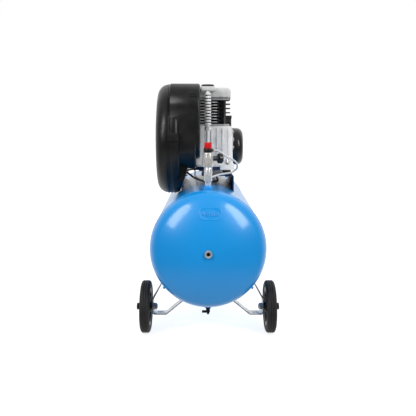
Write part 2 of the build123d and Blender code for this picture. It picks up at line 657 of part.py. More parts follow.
# ---------------------------------------------------------------- drive
def flywheel():
    """A grooved rim on six slanted fan blades."""
    y = PUMP_Y
    rim = pipe((BELT_X - 22, y, CRANK_Z), (1, 0, 0), FLYWHEEL_R, 152, 44)
    wheel = rim + pipe((BELT_X - 20, y, CRANK_Z), (1, 0, 0), 30, JOURNAL_R, 66)
    for index in range(6):
        blade = Pos(BELT_X, 0, 91) * Rot(0, 0, 32) * Box(6, 46, 126)
        wheel += Pos(0, y, CRANK_Z) * Rot(60 * index, 0, 0) * blade
    wheel -= rod((BELT_X - 30, y, CRANK_Z), (1, 0, 0), JOURNAL_R, 100)
    wheel -= belt_groove(y, CRANK_Z, FLYWHEEL_R)
    save("flywheel", wheel)


def belt_groove(y, z, radius):
    """The ring that a pulley's groove takes away, a little larger than the belt."""
    half = BELT_WIDTH / 2 + 0.6
    depth = radius - BELT_DEPTH - 2
    profile = [(depth, -half), (radius + 5, -half), (radius + 5, half), (depth, half)]
    return spun(profile, (BELT_X, y, z), (1, 0, 0))


def belt_outline(inset):
    """The loop around both pulleys, moved inwards by an inset."""
    wheel = Pos(PUMP_Y, CRANK_Z) * Circle(FLYWHEEL_R - inset)
    pulley = Pos(MOTOR_Y, MOTOR_Z) * Circle(PULLEY_R - inset)
    return make_hull(wheel.edges() + pulley.edges())


def drive_belt():
    """One V-belt, resting in the grooves."""
    plane = Plane.YZ.offset(BELT_X - BELT_WIDTH / 2)
    belt = extrude(plane * belt_outline(0.5), BELT_WIDTH)
    belt -= extrude(plane * belt_outline(BELT_DEPTH), BELT_WIDTH)
    save("drive_belt", belt)


def motor_turning_parts():
    """Rotor with its shaft, pulley and cooling fan."""
    y, z = MOTOR_Y, MOTOR_Z
    rotor = rod((-178, y, z), (1, 0, 0), SHAFT_R, 312) + rod((-35, y, z), (1, 0, 0), 44, 100)
    save("motor_rotor", rotor)
    pulley = pipe((BELT_X - 16, y, z), (1, 0, 0), PULLEY_R, SHAFT_R, 44)
    save("motor_pulley", pulley - belt_groove(y, z, PULLEY_R))
    fan = pipe((108, y, z), (1, 0, 0), 20, SHAFT_R, 22)
    for index in range(7):
        blade = Pos(119, 0, 44) * Box(20, 3, 52)
        fan += Pos(0, y, z) * Rot(360 / 7 * index, 0, 0) * blade
    save("cooling_fan", fan)


def motor_frame():
    """The finned barrel of the motor with its feet, and the wound stator inside it."""
    y, z = MOTOR_Y, MOTOR_Z
    frame = rod((-50, y, z), (1, 0, 0), 83, 138)
    for index in range(28):
        angle = index * 360 / 28
        frame += Pos(0, y, z) * Rot(angle, 0, 0) * block(-46, 84, -1.2, 1.2, 80, 89)
    for y0 in (y - 72, y + 38):
        frame += block(-45, 85, y0, y0 + 34, RAIL_TOP_Z, 690)
    frame += block(36, 84, y - 30, y + 30, 790, 818)
    frame -= rod((-60, y, z), (1, 0, 0), 78, 160)
    frame -= block(-46, 84, y - 46, y + 46, 818, 830)
    for x, yy in motor_bolt_places():
        frame -= rod((x, yy, 640), (0, 0, 1), 5.2, 20)
        frame -= rod((x, yy, 655), (0, 0, 1), 12, 30)
    save("motor_frame", frame)
    save("motor_stator", pipe((-40, y, z), (1, 0, 0), 78, 45, 110))


def motor_end_shields():
    y, z = MOTOR_Y, MOTOR_Z
    left = rod((-66, y, z), (1, 0, 0), 84, 16) - rod((-63, y, z), (1, 0, 0), 26, 20)
    left -= rod((-70, y, z), (1, 0, 0), 14, 20)
    right = rod((88, y, z), (1, 0, 0), 84, 12) + rod((84, y, z), (1, 0, 0), 34, 18)
    right -= rod((80, y, z), (1, 0, 0), 26, 20)
    right -= rod((80, y, z), (1, 0, 0), 14, 30)
    save("motor_end_shields", left, right)


def fan_cowl():
    """The sheet cowl over the fan, with slots in its end."""
    y, z = MOTOR_Y, MOTOR_Z
    outer = rod((92, y, z), (1, 0, 0), 92, 86)
    outer = fillet(outer.edges().group_by(Axis.X)[-1], 30)
    inner = rod((91, y, z), (1, 0, 0), 89.5, 84.5)
    inner = fillet(inner.edges().group_by(Axis.X)[-1], 28)
    cowl = outer - inner
    for index in range(12):
        slot = Pos(175, 0, 38) * Box(20, 5, 40)
        cowl -= Pos(0, y, z) * Rot(30 * index, 0, 0) * slot
    save("fan_cowl", cowl)


def terminal_box():
    """The motor's terminal box with its lid's step and a cable gland."""
    y = MOTOR_Y
    box = rounded_block(31, 121, y - 45, y + 45, 818, 880, 8)
    box += rounded_block(29, 123, y - 47, y + 47, 872, 887, 8)
    box -= rod((87.5, y, MOTOR_Z), (1, 0, 0), 92.4, 60)
    box += rod((76, y - 45, 846), (0, -1, 0), 9, 16)
    box -= rod((76, y - 44, 846), (0, -1, 0), 4, 40)
    save("terminal_box", box)


# ---------------------------------------------------------------- guard
def egg(inset, x0, x1, outer_round, inner_round):
    """The main body of the guard: a rounded egg around flywheel and pulley."""
    big = Pos(PUMP_Y, GUARD_Z) * Circle(GUARD_R - inset)
    small = Pos(MOTOR_Y, MOTOR_Z) * Circle(GUARD_TAIL_R - inset)
    face = make_hull(big.edges() + small.edges())
    solid = extrude(Plane.YZ.offset(x0) * face, x1 - x0)
    solid = fillet(solid.edges().group_by(Axis.X)[0], outer_round)
    return fillet(solid.edges().group_by(Axis.X)[-1], inner_round)


def hood_part(inset, x1, z0):
    """A rounded duct from the main body to one depth across the machine."""
    y0, y1 = RIM_Y + 108 + inset, RIM_Y + 256 - inset
    x1 -= inset
    solid = block(GUARD_X1 - 40, x1, y0, y1, z0 + inset, 1012 - inset)
    solid = fillet(solid.edges().filter_by(Axis.X).group_by(Axis.Y)[0], HOOD_ROUND - inset)
    return fillet(solid.edges().group_by(Axis.X)[-1], 10 - inset)


def skirt(inset):
    """The lowest part of the inner half, in front of the deck, which narrows towards the receiver."""
    points = [(GUARD_X1 - 40, 664), (-79, 664), (-91, 641), (-99, 605), (-112, 572), (GUARD_X1 - 40, 572)]
    face = make_face(Polyline(*points, close=True))
    if inset:
        face = offset(face, -inset, kind=Kind.INTERSECTION)
    y0, y1 = RIM_Y + 168 + inset, RIM_Y + 236 - inset
    solid = extrude(Plane.XZ.offset(-y1) * face, y1 - y0)
    return solid & rod((GUARD_X1 - 50, PUMP_Y, GUARD_Z), (1, 0, 0), GUARD_R - inset, 120)


def hood(inset):
    """The duct in front of the cylinders, cut short above the pump's front bolt, and its skirt."""
    return hood_part(inset, -50, 652) + hood_part(inset, GUARD_HOOD_X, 694) + skirt(inset)


def guard_shells():
    """The hollow guard, parted at the seam into an outer and an inner half."""
    skin = egg(0, GUARD_X0, GUARD_X1, 45, 20) + hood(0)
    skin -= egg(GUARD_WALL, GUARD_X0 + GUARD_WALL, GUARD_X1 - GUARD_WALL, 42, 17)
    skin -= hood(GUARD_WALL)
    skin -= rod((-125, PUMP_Y, CRANK_Z), (1, 0, 0), 60, 20)
    skin -= block(-125, -100, PUMP_Y - 60, PUMP_Y + 120, 700, 930)
    skin -= rod((-125, MOTOR_Y, MOTOR_Z), (1, 0, 0), 30, 20)
    skin -= block(-108, -42, RIM_Y + 250, RIM_Y + 260, 700, 985)
    seam = block(GUARD_X0 - 50, GUARD_SEAM_X, RIM_Y, RIM_Y + 1000, 400, 1100)
    save("guard_outer", skin & seam)
    save("guard_inner", skin - seam)


def guard_latches():
    """Clips across the seam, at the front and at the tail."""
    guard = egg(0, GUARD_X0, GUARD_X1, 45, 20)
    clips = []
    for y, z, radius, turn in ((PUMP_Y, GUARD_Z + 8, GUARD_R, 90), (MOTOR_Y, MOTOR_Z, GUARD_TAIL_R, -80)):
        clip = Pos(-142, 0, radius + 1) * Box(44, 33, 10)
        clips.append(Pos(0, y, z) * Rot(turn, 0, 0) * clip - guard)
    save("guard_latches", *clips)


# ---------------------------------------------------------------- controls
def pressure_switch():
    """The switch on its manifold at the rear of the tank."""
    y = SWITCH_Y
    stem = rod((0, y, 585), (0, 0, 1), 9.9, 12) + hexagon((0, y, 596), (0, 0, 1), 24, 10)
    stem += rounded_block(-18, 18, y - 18, y + 18, 606, 640, 5)
    box = rounded_block(-32, 32, y - 34, y + 34, 640, 735, 8)
    box = fillet(box.edges().group_by(Axis.Z)[-1], 5)
    gland = rod((0, y - 34, 668), (0, -1, 0), 9, 14) - rod((0, y - 40, 668), (0, -1, 0), 4, 30)
    gland += rod((0, y + 34, 668), (0, 1, 0), 9, 14) - rod((0, y + 40, 668), (0, 1, 0), 4, 30)
    inlet = rod((-32, y, 668), (-1, 0, 0), 10, 16) - rod((-36, y, 668), (-1, 0, 0), 5, 30)
    save("pressure_switch", stem + box + gland + inlet - rod((0, y, 735), (0, 0, 1), 5.2, 3))
    knob = rod((0, y, 735.4), (0, 0, 1), 14, 16)
    save("switch_knob", fillet(knob.edges().group_by(Axis.Z)[-1], 3))


def outlet_group():
    """Regulator with its knob, and the ball valve at the air outlet."""
    y = SWITCH_Y
    body = rod((18, y, 622), (1, 0, 0), 9, 30) + rod((62, y, 604), (0, 0, 1), 22, 40)
    body += rod((60, y, 622), (1, 0, 0), 11, 92)
    body += rod((80, y, 622), (1, 0, 0), 15, 10)
    body += rounded_block(102, 126, y - 14, y + 14, 608, 636, 5)
    body += rod((114, y, 636), (0, 0, 1), 5, 8)
    body -= rod((120, y, 622), (1, 0, 0), 6.6, 60)
    save("outlet_regulator", body)
    knob = rod((62, y, 644.4), (0, 0, 1), 18, 26)
    knob = fillet(knob.edges().group_by(Axis.Z)[-1], 3)
    save("regulator_knob", knob)
    lever = rod((114, y, 644.4), (0, 0, 1), 8, 4) + block(114, 166, y - 6, y + 6, 644.4, 648.4)
    save("outlet_lever", lever)


def bleed_tube():
    """The white tube from the non-return valve, round the deck's edge, to the switch."""
    y0 = RIM_Y
    port = (0, COLUMN_Y, BLEED_Z)
    points = [along(port, BLEED_WAY, BLEED_REACH), along(port, BLEED_WAY, BLEED_REACH + 20)]
    points += [(66, y0 + 100, 714), (98, y0 + 135, 696)]
    points += [(124, y0 + 170, 676), (124, y0 + 205, 650), (100, y0 + 222, 633)]
    points += [(58, y0 + 226, 627), (22, y0 + 222, 617), (-3, y0 + 228, 605)]
    points += [(-20, y0 + 248, 599), (-25, y0 + 276, 596), (-30, y0 + 330, 594)]
    points += [(-44, y0 + 420, 593), (-56, y0 + 520, 594), (-60, y0 + 620, 593)]
    points += [(-62, y0 + 720, 593), (-60, y0 + 820, 596), (-76, y0 + 900, 612)]
    points += [(-88, y0 + 955, 645), (-80, SWITCH_Y, 668), (-48, SWITCH_Y, 668)]
    save("bleed_tube", held_tube("bleed_tube", points, 4))


def motor_cable():
    """The motor's lead: forward beside the pump, round its front and back under the deck."""
    y0 = RIM_Y
    points = [(76, y0 + 629, 846), (76, y0 + 602, 846), (71, y0 + 562, 820), (62, y0 + 530, 755)]
    points += [(34, y0 + 515, 690), (-8, y0 + 508, 651), (-52, y0 + 496, 633)]
    points += [(-84, y0 + 462, 629.5), (-96, y0 + 410, 630), (-97, y0 + 350, 631)]
    points += [(-98, y0 + 295, 633), (-95, y0 + 256, 636), (-82, y0 + 226, 631)]
    points += [(-57, y0 + 206, 612), (-19, y0 + 203, 598), (18, y0 + 219, 595)]
    points += [(40, y0 + 255, 595), (47, y0 + 320, 594), (44, y0 + 420, 594)]
    points += [(46, y0 + 520, 593), (42, y0 + 620, 594), (44, y0 + 720, 593)]
    points += [(38, y0 + 800, 594), (28, y0 + 852, 597), (18, y0 + 886, 608)]
    points += [(9, y0 + 898, 634), (2, y0 + 908, 658), (0, y0 + 921, 668), (0, y0 + 937, 668)]
    save("motor_cable", held_tube("motor_cable", points, 4))


def held_tube(name, points, radius):
    """A lead on its route: each arc is as large as its two runs allow."""
    runs = [(Vector(*b) - Vector(*a)) for a, b in zip(points, points[1:])]
    radii = []
    for first, second in zip(runs, runs[1:]):
        turn = radians(first.get_angle(second))
        shorter = min(first.length, second.length)
        radii.append(0.45 * shorter / (sin(turn / 2) / cos(turn / 2)))
    tube = tube_on_route(points, radii, radius)
    path = FilletPolyline(*points, radius=radii)
    share = tube.volume / (pi * radius ** 2 * path.length)
    print(name, "radii", [round(r) for r in radii], "volume / section x length", round(share, 4))
    return tube


def main():
    for build in (tank_barrel, tank_ends, tank_plugs, tank_bosses, support_brackets, wheels):
        build()
    save("axle_bolts", *axle_bolts())
    for build in (rubber_feet, push_handle, deck_plate, rubber_mounts, frame_bolts):
        build()
    for build in (riser_pipe, check_valve_body, safety_valve, tank_gauge, drain_valve):
        build()
    for build in (crankcase, crankcase_cover, pump_bolts, bearings, cylinder_block):
        build()
    for build in (cylinder_head, air_filter, oil_filler_cap, crankshaft, pistons):
        build()
    con_rod("con_rod_low", LOW_X, PUMP_Y - THROW, 20, 10)
    con_rod("con_rod_high", HIGH_X, PUMP_Y + THROW, 20, 6)
    for build in (delivery_line, flywheel, drive_belt, motor_turning_parts, motor_frame):
        build()
    for build in (motor_end_shields, fan_cowl, terminal_box, guard_shells, guard_latches):
        build()
    for build in (pressure_switch, outlet_group, bleed_tube, motor_cable):
        build()


main()
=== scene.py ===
import json
import math

import bmesh
import bpy
from mathutils import Matrix, Vector


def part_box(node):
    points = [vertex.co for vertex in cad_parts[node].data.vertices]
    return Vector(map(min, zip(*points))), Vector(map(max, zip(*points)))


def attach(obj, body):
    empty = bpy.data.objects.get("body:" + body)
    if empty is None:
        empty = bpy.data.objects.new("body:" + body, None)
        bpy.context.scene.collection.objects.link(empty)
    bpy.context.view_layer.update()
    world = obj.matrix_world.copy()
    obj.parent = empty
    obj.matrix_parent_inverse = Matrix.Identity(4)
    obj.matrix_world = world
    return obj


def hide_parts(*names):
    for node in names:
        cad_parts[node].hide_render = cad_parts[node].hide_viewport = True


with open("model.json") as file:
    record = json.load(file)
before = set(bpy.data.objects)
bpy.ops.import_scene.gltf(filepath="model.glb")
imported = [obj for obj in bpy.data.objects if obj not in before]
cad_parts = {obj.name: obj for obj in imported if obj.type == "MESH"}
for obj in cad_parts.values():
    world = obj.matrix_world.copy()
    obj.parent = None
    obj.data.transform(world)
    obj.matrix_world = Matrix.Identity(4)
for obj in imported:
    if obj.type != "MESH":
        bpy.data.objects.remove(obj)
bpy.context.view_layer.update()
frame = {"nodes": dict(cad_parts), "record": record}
NODES = frame["nodes"]
BODY_OF = {n: b for b, members in frame["record"]["behaviour"]["bodies"].items() for n in members}
SLOT_OF = {s["node"]: s["material_slot"] for s in frame["record"]["subparts"]}
MM = 0.001

# Places and sizes in metres. The receiver's come from the frame.
BARREL_LOW, BARREL_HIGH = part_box("tank_barrel")
TANK_R = (BARREL_HIGH.x - BARREL_LOW.x) / 2
TANK_Z = (BARREL_HIGH.z + BARREL_LOW.z) / 2
RIM_Y, REAR_RIM_Y = BARREL_LOW.y, BARREL_HIGH.y
TANK_WALL = 0.0035
CROWN_R = 0.400
KNUCKLE_R = 0.060
DISH_DEPTH = CROWN_R - math.sqrt((CROWN_R - KNUCKLE_R) ** 2 - (TANK_R - KNUCKLE_R) ** 2)
POLE_R = 0.0001
WELD_R, WELD_SINK = 0.0022, 0.0008
FLANGE = 0.004
SOCKET_R = 0.0078

# The badge: its plate, its bars, and (inset, height above the end) steps of their edges.
BADGE_X, BADGE_Z = 0.008, 0.145
BADGE_WIDTH, BADGE_HEIGHT, BADGE_CORNER = 0.089, 0.049, 0.021
BADGE_STEPS = ((0.0, -0.001), (0.0, 0.0008), (0.0012, 0.0015), (0.0032, 0.0015), (0.0046, 0.0009))
BADGE_BARS, BADGE_PITCH = 8, 0.0082
BAR_WIDTH, BAR_HEIGHT, BAR_CORNER = 0.0046, 0.016, 0.0016
BAR_STEPS = ((0.0, 0.0004), (0.0, 0.0013), (0.0007, 0.0019))

# The tyres, from the rim outwards.
TREAD_INSET = 0.003
RIM_SEAT_R = 0.0762
SHOULDER_R, SHOULDER_IN = 0.010, 0.0112
RIB_PITCH, RIB_HALF, RIB_FOOT, GROOVE_HALF = 0.0085, 0.003, 0.0038, 0.0042
RIB_ROUND, GROOVE_DEPTH = 0.0008, 0.0022
HEAD_GAP = 0.003

# The gauge, whose face looks away from the camera by its turn.
GAUGE_ORIGIN = Vector((0, RIM_Y + 0.045, 0.702))
GAUGE_TURN = math.radians(20)
GAUGE_WAY = Vector((math.cos(GAUGE_TURN), math.sin(GAUGE_TURN), 0))
GAUGE_FLOOR = 0.047
DIAL_R, DIAL_HOLE_R = 0.0178, 0.0013
DIAL_LOW, DIAL_HIGH = GAUGE_FLOOR + 0.0002, GAUGE_FLOOR + 0.0012
WINDOW_R, WINDOW_DOME = 0.0179, 0.0002
WINDOW_LOW, WINDOW_HIGH = GAUGE_FLOOR + 0.0093, GAUGE_FLOOR + 0.0108
TICKS, TICK_ANGLE, FIRST_TICK, LONG_EVERY = 31, 9, 225, 5
TICK_END_R, TICK_THICKNESS = 0.0165, 0.0002
LONG_TICK, SHORT_TICK = (0.0042, 0.0005), (0.0022, 0.0003)

# The pump and its delivery pipe.
PIPE_Y = RIM_Y + 0.190
RING_CORE_R, RINGS_LOW_Z, RINGS_HIGH_Z = 0.0125, 0.834, 0.972
FIN_RIM_Y, FIN_RIM_X, FIN_EDGE_SLOPE = 0.055, 0.008, 0.35

# The belt guard: its two circles as (y, z, radius), its seam ribs, and its hood with a clip.
GUARD_NOSE = (RIM_Y + 0.330, 0.778, 0.238)
GUARD_TAIL = (RIM_Y + 0.690, 0.733, 0.110)
SEAM_RIBS = (-0.1685, -0.155, -0.1415)
SEAM_SECTION = ((-0.0045, -0.002), (-0.002, 0.0018), (0.002, 0.0018), (0.0045, -0.002))
HOOD_FRONT_Y = RIM_Y + 0.108
HOOD_ROUND, HOOD_ROUND_Z = 0.110, 0.902
CLIP_X, CLIP_Z = -0.0605, 0.960
CLIP_WIDTH, CLIP_HEIGHT, CLIP_CORNER = 0.036, 0.016, 0.006
CLIP_STEPS = ((0.0, -0.001), (0.0, 0.0018), (0.0008, 0.0026), (0.0032, 0.0026), (0.0038, 0.0004))

# The view and the studio.
CAMERA_PLACE = (-0.020, -2.909, 0.815)
LENS, SHIFT_X, SHIFT_Y = 51.2, 0.012, -0.1875
FLOOR_SIZE, BACKDROP_R = 40, 38
FLOOR_GLOW, BACKDROP_GLOW = 0.75, 1.0
SOFT_BOX_X, SOFT_BOX_Y, SOFT_BOX_Z = 1.75, -2.6, 2.0
SOFT_BOX_TARGET = (0, -0.65, 0.48)
SOFT_BOX_WIDTH, SOFT_BOX_HEIGHT = 0.6, 1.8
SOFT_BOX_POWER, SOFT_BOX_LEAN = 43, 25
FRONT_LIGHT, BACK_LIGHT = 0.12, 1.0
FLOOR_LIGHT, TOP_LIGHT = 0.75, 0.5


# ---------------------------------------------------------------- materials
def node_of(tree, kind, **values):
    """A shader node with some of its inputs or settings filled in."""
    made = tree.nodes.new(kind)
    for name, value in values.items():
        if name in made.inputs:
            made.inputs[name].default_value = value
        else:
            setattr(made, name, value)
    return made


def shader_of(name, colour, roughness, metallic=0.0, **sockets):
    """A principled material with its constant values set on its own sockets."""
    material = bpy.data.materials.new(name)
    material.use_nodes = True
    shader = material.node_tree.nodes["Principled BSDF"]
    shader.inputs["Base Color"].default_value = (*colour, 1)
    shader.inputs["Roughness"].default_value = roughness
    shader.inputs["Metallic"].default_value = metallic
    for socket, value in sockets.items():
        shader.inputs[socket.replace("_", " ")].default_value = value
    return material


def noise_of(tree, scale, detail=3.0, stretch=(1, 1, 1)):
    """Noise in the row frame, at a scale in cycles per metre."""
    place = node_of(tree, "ShaderNodeTexCoord")
    mapping = node_of(tree, "ShaderNodeMapping", Scale=stretch)
    tree.links.new(place.outputs["Object"], mapping.inputs["Vector"])
    grain = node_of(tree, "ShaderNodeTexNoise", Scale=scale, Detail=detail)
    tree.links.new(mapping.outputs["Vector"], grain.inputs["Vector"])
    return grain.outputs["Fac"]


def vary_colour(material, dark, light, scale, stretch=(1, 1, 1), low=0.35, high=0.65):
    """Base colour drifting between two shades."""
    tree = material.node_tree
    ramp = node_of(tree, "ShaderNodeValToRGB")
    ramp.color_ramp.elements[0].position = low
    ramp.color_ramp.elements[1].position = high
    ramp.color_ramp.elements[0].color = (*dark, 1)
    ramp.color_ramp.elements[1].color = (*light, 1)
    tree.links.new(noise_of(tree, scale, stretch=stretch), ramp.inputs["Fac"])
    tree.links.new(ramp.outputs["Color"], tree.nodes["Principled BSDF"].inputs["Base Color"])
    return material


def ranged(tree, source, start, end, low, high, easing="SMOOTHSTEP"):
    """A value taken from one level to another over a range of its source."""
    spread = node_of(tree, "ShaderNodeMapRange", interpolation_type=easing)
    for socket, value in (("From Min", start), ("From Max", end), ("To Min", low), ("To Max", high)):
        spread.inputs[socket].default_value = value
    tree.links.new(source, spread.inputs["Value"])
    return spread.outputs["Result"]


def vary_gloss(material, low, high, scale, stretch=(1, 1, 1)):
    """Roughness drifting between two values."""
    tree = material.node_tree
    gloss = ranged(tree, noise_of(tree, scale, stretch=stretch), 0.3, 0.7, low, high, "LINEAR")
    tree.links.new(gloss, tree.nodes["Principled BSDF"].inputs["Roughness"])
    return material


def add_bump(material, scale, strength, depth, stretch=(1, 1, 1)):
    """Fine relief: orange peel, casting grain or moulded texture."""
    tree = material.node_tree
    bump = node_of(tree, "ShaderNodeBump", Strength=strength, Distance=depth)
    tree.links.new(noise_of(tree, scale, 4.0, stretch), bump.inputs["Height"])
    tree.links.new(bump.outputs["Normal"], tree.nodes["Principled BSDF"].inputs["Normal"])
    return material


def enamel(name, dark, light, roughness):
    """Glossy sprayed paint with a faint orange peel."""
    coat = {"Coat_Weight": 0.5, "Coat_Roughness": 0.13, "Coat_IOR": 1.5}
    paint = shader_of(name, light, roughness, Specular_IOR_Level=0.4, **coat)
    vary_colour(paint, dark, light, 3.0)
    return add_bump(paint, 260, 0.05, 0.0003)


def brushed(name, dark, light, low, high, stretch=(1, 1, 1)):
    """Plated or ground metal with faint streaks."""
    metal = shader_of(name, light, low, 1.0)
    vary_colour(metal, dark, light, 60, stretch)
    vary_gloss(metal, low, high, 90, stretch)
    return add_bump(metal, 500, 0.06, 0.0002, stretch)


def cast_metal(name, dark, light, metallic, roughness):
    """The even, grainy skin of a casting."""
    casting = shader_of(name, light, roughness, metallic)
    vary_colour(casting, dark, light, 35)
    vary_gloss(casting, roughness - 0.07, roughness + 0.08, 140)
    return add_bump(casting, 900, 0.35, 0.0004)


def moulded(name, dark, light, roughness, grain=700, depth=0.0002):
    """Moulded plastic with a fine texture."""
    plastic = shader_of(name, light, roughness, Specular_IOR_Level=0.4)
    vary_colour(plastic, dark, light, 18)
    vary_gloss(plastic, roughness - 0.05, roughness + 0.06, 30)
    return add_bump(plastic, grain, 0.2, depth)


def clear_glass(name):
    """The gauge's window."""
    pane = shader_of(name, (1, 1, 1), 0.03, Transmission_Weight=1.0, IOR=1.1, Alpha=0.25)
    vary_gloss(pane, 0.02, 0.06, 120)
    return pane


MATERIALS = {
    "tank_blue": enamel("tank_blue", (0.003, 0.315, 0.82), (0.005, 0.345, 0.88), 0.36),
    # deck_blue is a much darker copy of the tank's blue paint: painted shade on the deck, which sits in
    # shadow under the pump.
    "deck_blue": enamel("deck_blue", (0.004, 0.028, 0.11), (0.006, 0.036, 0.14), 0.28),
    "zinc_steel": cast_metal("zinc_steel", (0.50, 0.52, 0.55), (0.70, 0.71, 0.74), 0.9, 0.27),
    "nickel_brass": cast_metal("nickel_brass", (0.64, 0.63, 0.61), (0.82, 0.81, 0.78), 0.6, 0.34),
    "bearing_steel": brushed("bearing_steel", (0.42, 0.42, 0.43), (0.56, 0.56, 0.57), 0.25, 0.4),
    "cast_aluminium": cast_metal("cast_aluminium", (0.70, 0.70, 0.69), (0.86, 0.86, 0.845), 0.15, 0.42),
    "black_iron": cast_metal("black_iron", (0.006, 0.006, 0.006), (0.013, 0.013, 0.014), 0.0, 0.42),
    "copper_winding": brushed("copper_winding", (0.4, 0.17, 0.08), (0.6, 0.28, 0.14), 0.3, 0.5),
    "black_steel": enamel("black_steel", (0.006, 0.006, 0.007), (0.010, 0.010, 0.011), 0.36),
    "black_plastic": moulded("black_plastic", (0.006, 0.006, 0.0065), (0.011, 0.011, 0.0115), 0.34),
    "rubber": moulded("rubber", (0.010, 0.010, 0.010), (0.018, 0.018, 0.018), 0.62, 500),
    "tyre": moulded("tyre", (0.012, 0.012, 0.012), (0.022, 0.022, 0.022), 0.66, 420, 0.0003),
    "red_plastic": moulded("red_plastic", (0.62, 0.006, 0.012), (0.75, 0.012, 0.02), 0.28),
    "white_tube": moulded("white_tube", (0.82, 0.82, 0.80), (0.92, 0.91, 0.88), 0.3),
}
PALE_ZINC = cast_metal("pale_zinc", (0.70, 0.71, 0.73), (0.88, 0.89, 0.90), 0.55, 0.32)
# Near-black zinc: the own colour of the axle bolts' blackened outer heads, and painted shade in the
# gaps between the delivery pipe's rings.
DARK_ZINC_AND_GAP_SHADE = cast_metal("dark_zinc_and_gap_shade", (0.012, 0.012, 0.013), (0.03, 0.03, 0.032), 0.3, 0.4)
# A paler copy of the cast aluminium. On the crankcase it is painted light that makes up for the shade
# the hood casts on it; the delivery pipe wears it too.
PALE_AND_LIT_CASTING = cast_metal("pale_and_lit_casting", (0.86, 0.86, 0.85), (0.97, 0.97, 0.955), 0.05, 0.45)
OTHER_LOOKS = {"riser_pipe": PALE_ZINC, "pipe_nuts": PALE_ZINC, "crankcase": PALE_AND_LIT_CASTING}
DIAL_WHITE = moulded("dial_white", (0.80, 0.80, 0.78), (0.88, 0.88, 0.86), 0.45)
GAUGE_GLASS = clear_glass("gauge_glass")
# Painted shade for the recessed hexagon sockets of the end plugs.
SOCKET_SHADE = cast_metal("socket_shade", (0.02, 0.02, 0.02), (0.05, 0.05, 0.05), 0.3, 0.5)
# Light grey for the fin rims: bare metal with a painted reflection of the bright surround.
FIN_RIM_METAL_AND_SHEEN = cast_metal("fin_rim_metal_and_sheen", (0.42, 0.42, 0.42), (0.60, 0.60, 0.60), 0.3, 0.4)


# ---------------------------------------------------------------- mesh helpers
def add_piece(name, mesh, body, slot, material=None, replaced=()):
    """Put a mesh in the scene on a body, with the material given or else the one for its slot."""
    piece = bpy.data.objects.new(name, mesh)
    bpy.context.scene.collection.objects.link(piece)
    mesh.materials.clear()
    mesh.materials.append(material or MATERIALS[slot])
    for polygon in mesh.polygons:
        polygon.material_index = 0
    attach(piece, body)
    if replaced:
        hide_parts(*replaced)
    return piece


def mesh_from(bm, name, sharp=40):
    """A finished mesh, smooth except across edges sharper than an angle."""
    bmesh.ops.recalc_face_normals(bm, faces=bm.faces)
    mesh = bpy.data.meshes.new(name)
    bm.to_mesh(mesh)
    bm.free()
    mesh.shade_smooth()
    mesh.set_sharp_from_angle(angle=math.radians(sharp))
    return mesh


def bridge(bm, loops):
    """Faces between each closed loop of vertices and the next."""
    for first, second in zip(loops, loops[1:]):
        for i in range(len(first)):
            j = (i + 1) % len(first)
            bm.faces.new((first[i], first[j], second[j], second[i]))


def turned(bm, profile, origin, axis, steps=96):
    """A closed profile of (radius, height) points spun about an axis."""
    z = Vector(axis).normalized()
    turn = z.to_track_quat("Z", "Y").to_matrix().to_4x4()
    place = Matrix.Translation(Vector(origin)) @ turn
    rings = []
    for step in range(steps):
        angle = 2 * math.pi * step / steps
        ring = [(r * math.cos(angle), r * math.sin(angle), h) for r, h in profile]
        rings.append([bm.verts.new(place @ Vector(p)) for p in ring])
    bridge(bm, rings + rings[:1])
    bmesh.ops.remove_doubles(bm, verts=bm.verts, dist=1e-6)


def cleaned(node):
    """A copy of a CAD node's mesh, with its flat places made of single faces."""
    mesh = NODES[node].data.copy()
    bm = bmesh.new()
    bm.from_mesh(mesh)
    bmesh.ops.remove_doubles(bm, verts=bm.verts, dist=2e-6)
    limit = math.radians(0.6)
    bmesh.ops.dissolve_limit(bm, angle_limit=limit, verts=bm.verts, edges=bm.edges)
    bm.to_mesh(mesh)
    bm.free()
    mesh.shade_smooth()
    return mesh


def refined(node, width=0.7, material=None):
    """A CAD node's own shape with every hard edge broken by a small round, in millimetres."""
    draft = bpy.data.objects.new(node + "_draft", cleaned(node))
    bpy.context.scene.collection.objects.link(draft)
    bevel = draft.modifiers.new("round", "BEVEL")
    bevel.width = width * MM
    bevel.segments = 2
    bevel.limit_method = "ANGLE"
    bevel.angle_limit = math.radians(32)
    bevel.use_clamp_overlap = True
    bevel.harden_normals = True
    graph = bpy.context.evaluated_depsgraph_get()
    final = bpy.data.meshes.new_from_object(draft.evaluated_get(graph))
    bpy.data.objects.remove(draft)
    return add_piece(node + "_fine", final, BODY_OF[node], SLOT_OF[node], material, [node])


def repaint(piece, material, chosen):
    """Give the faces that a test picks a second material."""
    piece.data.materials.append(material)
    for polygon in piece.data.polygons:
        if chosen(polygon):
            polygon.material_index = 1


# ---------------------------------------------------------------- view
def make_camera():
    """A level view along the receiver from in front of its wheeled end."""
    data = bpy.data.cameras.new("view")
    data.lens = LENS
    data.sensor_width = 36
    data.shift_x = SHIFT_X
    data.shift_y = SHIFT_Y
    data.clip_end = 50
    camera = bpy.data.objects.new("view", data)
    camera.location = CAMERA_PLACE
    camera.rotation_euler = (math.radians(90), 0, 0)
    bpy.context.scene.collection.objects.link(camera)
    bpy.context.scene.camera = camera


